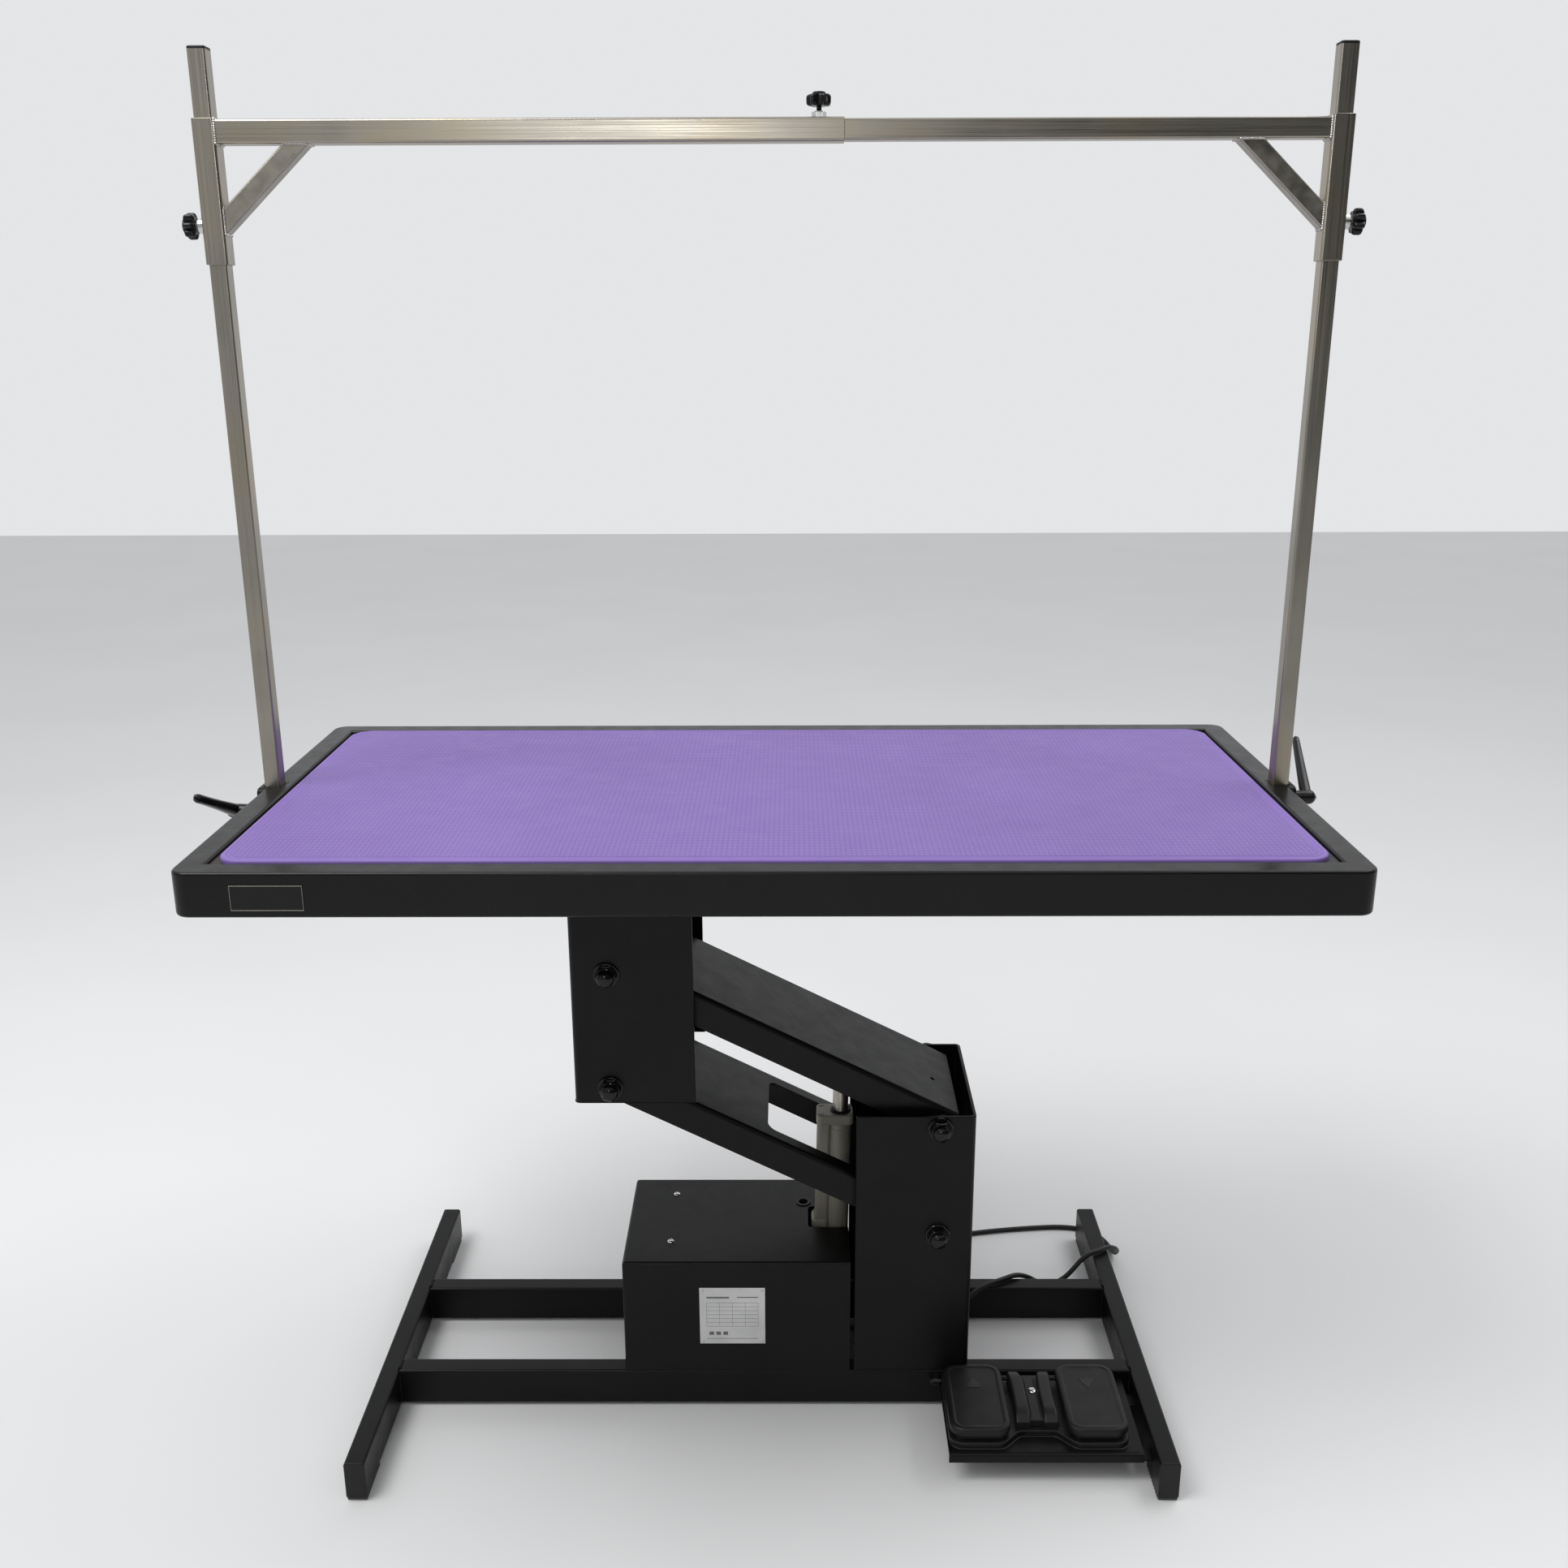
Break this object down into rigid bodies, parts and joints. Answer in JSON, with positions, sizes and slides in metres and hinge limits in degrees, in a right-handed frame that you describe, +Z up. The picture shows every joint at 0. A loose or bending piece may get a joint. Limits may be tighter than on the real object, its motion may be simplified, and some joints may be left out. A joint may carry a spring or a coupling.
{
  "type": "electric grooming table",
  "caption": "Electric lifting table with a matted top on a parallelogram arm lift, an H-shaped base with a foot pedal, and an over-table frame with sliding crossbar.",
  "frame": {"origin": "on the floor, under the middle of the table top's rim", "axes": "+X along the table towards the column's end, +Y from the pedal's side to the back, +Z up"},
  "size_m": [1.351, 0.6108, 1.642],
  "materials": {
    "black_coat": "satin powder coat",
    "rim_coat": "semi-gloss powder coat",
    "stainless": "brushed",
    "rod_steel": "ground",
    "grey_coat": "satin coat",
    "zinc": "zinc plated",
    "black_plastic": "moulded",
    "lever_plastic": "moulded, semi-gloss",
    "mat_rubber": "ribbed",
    "pad_rubber": "moulded",
    "glide": "matt",
    "board": "black film-faced board",
    "plate_metal": "printed foil",
    "dark_plate": "anodised",
    "unit_plastic": "moulded",
    "cable": "smooth PVC"
  },
  "bodies": {
    "base": {"left_skid": "black_coat", "right_skid": "black_coat", "front_rail": "black_coat", "rear_rail": "black_coat", "skid_end_caps": "black_plastic", "glide_pads": "glide", "deck_plate": "black_coat", "lift_column": "black_coat", "actuator_foot_bracket": "black_coat", "column_shafts": "zinc", "column_nuts": "black_plastic", "control_box_cover": "black_coat", "control_unit": "unit_plastic", "cover_screws": "zinc", "cable_grommet": "unit_plastic", "rating_plate": "plate_metal", "plate_rivets": "zinc", "pedal_tray": "black_coat", "pedal_base": "black_plastic", "pedal_saddle": "black_plastic", "pedal_screw": "zinc", "pedal_pins": "zinc", "pedal_switches": "unit_plastic", "pedal_lead": "cable", "mains_gland": "cable", "mains_cable": "cable", "mains_coil": "cable", "mains_plug": "cable"},
    "up_pad": {"pedal_up_pad": "pad_rubber"},
    "down_pad": {"pedal_down_pad": "pad_rubber"},
    "lower_arm": {"lower_arm": "black_coat", "lower_arm_bushes": "black_coat"},
    "upper_arm": {"upper_arm": "black_coat", "upper_arm_bushes": "black_coat", "actuator_lugs": "black_coat"},
    "act_rod": {"actuator_rod": "rod_steel"},
    "act_barrel": {"actuator_barrel": "grey_coat", "actuator_motor": "grey_coat", "actuator_collar": "grey_coat"},
    "table": {"table_bracket": "black_coat", "bracket_shafts": "zinc", "bracket_nuts": "black_plastic", "subframe_tubes": "black_coat", "subframe_bolts": "zinc", "tabletop_rim": "rim_coat", "tabletop_board": "board", "mat": "mat_rubber", "maker_plate": "dark_plate", "post_sockets": "black_coat"},
    "left_lever": {"left_clamp_lever": "lever_plastic"},
    "right_lever": {"right_clamp_lever": "lever_plastic"},
    "left_post": {"left_post": "stainless"},
    "right_post": {"right_post": "stainless"},
    "crossbar": {"frame_sleeves": "stainless", "crossbar_outer": "stainless", "crossbar_inner": "stainless", "frame_braces": "stainless"},
    "left_knob": {"left_knob": "lever_plastic"},
    "right_knob": {"right_knob": "lever_plastic"},
    "top_knob": {"top_knob": "lever_plastic"}
  },
  "joints": [
    {"name": "lift", "type": "hinge", "parent": "base", "child": "lower_arm", "pos_m": [0.2025, -0.004, 0.2555], "axis": [0, 1, 0], "range_deg": [-28, 32]},
    {"name": "upper_arm_pivot", "type": "hinge", "parent": "base", "child": "upper_arm", "pos_m": [0.2025, -0.004, 0.4055], "axis": [0, 1, 0], "range_deg": [-29, 33]},
    {"name": "table_pivot", "type": "hinge", "parent": "lower_arm", "child": "table", "pos_m": [-0.20291, -0.004, 0.46207], "axis": [0, 1, 0], "range_deg": [-33, 29]},
    {"name": "actuator_pin", "type": "hinge", "parent": "upper_arm", "child": "act_rod", "pos_m": [0.084, 0.002, 0.46588], "axis": [0, 1, 0], "range_deg": [-28, 25]},
    {"name": "actuator_stroke", "type": "slide", "parent": "act_rod", "child": "act_barrel", "axis": [-0.021, 0, -0.9998], "range_m": [-0.058, 0.066]},
    {"name": "left_clamp_turn", "type": "hinge", "parent": "table", "child": "left_lever", "pos_m": [-0.634, 0.012, 0.782], "axis": [1, 0, 0], "range_deg": [-60, 90]},
    {"name": "right_clamp_turn", "type": "hinge", "parent": "table", "child": "right_lever", "pos_m": [0.634, 0.012, 0.797], "axis": [1, 0, 0], "range_deg": [-60, 90]},
    {"name": "left_post_height", "type": "slide", "parent": "table", "child": "left_post", "axis": [0, 0, 1], "range_m": [0, 0.08]},
    {"name": "right_post_height", "type": "slide", "parent": "table", "child": "right_post", "axis": [0, 0, 1], "range_m": [-0.001, 0.081]},
    {"name": "crossbar_height", "type": "slide", "parent": "left_post", "child": "crossbar", "axis": [0, 0, 1], "range_m": [-0.55, 0.055]},
    {"name": "left_knob_turn", "type": "hinge", "parent": "crossbar", "child": "left_knob", "pos_m": [-0.64, 0.012, 1.461], "axis": [1, 0, 0], "continuous": true},
    {"name": "right_knob_turn", "type": "hinge", "parent": "crossbar", "child": "right_knob", "pos_m": [0.64, 0.012, 1.461], "axis": [1, 0, 0], "continuous": true},
    {"name": "top_knob_turn", "type": "hinge", "parent": "crossbar", "child": "top_knob", "pos_m": [0.0505, 0.012, 1.58], "axis": [0, 0, 1], "continuous": true},
    {"name": "up_pad_press", "type": "hinge", "parent": "base", "child": "up_pad", "pos_m": [0.2485, -0.127, 0.06], "axis": [1, 0, 0], "range_deg": [0, 3], "stiffness_Nm_per_rad": 4, "springref_deg": -2.86},
    {"name": "down_pad_press", "type": "hinge", "parent": "base", "child": "down_pad", "pos_m": [0.393, -0.127, 0.06], "axis": [1, 0, 0], "range_deg": [0, 3], "stiffness_Nm_per_rad": 4, "springref_deg": -2.86}
  ],
  "couplings": [
    {"joint": "upper_arm_pivot", "follows": "lift", "ratio": 1},
    {"joint": "table_pivot", "follows": "lift", "ratio": -1},
    {"joint": "actuator_pin", "follows": "lift", "ratio": -0.845},
    {"joint": "actuator_stroke", "follows": "lift", "m_per_rad": 0.116},
    {"joint": "right_post_height", "follows": "left_post_height", "ratio": 1}
  ]
}
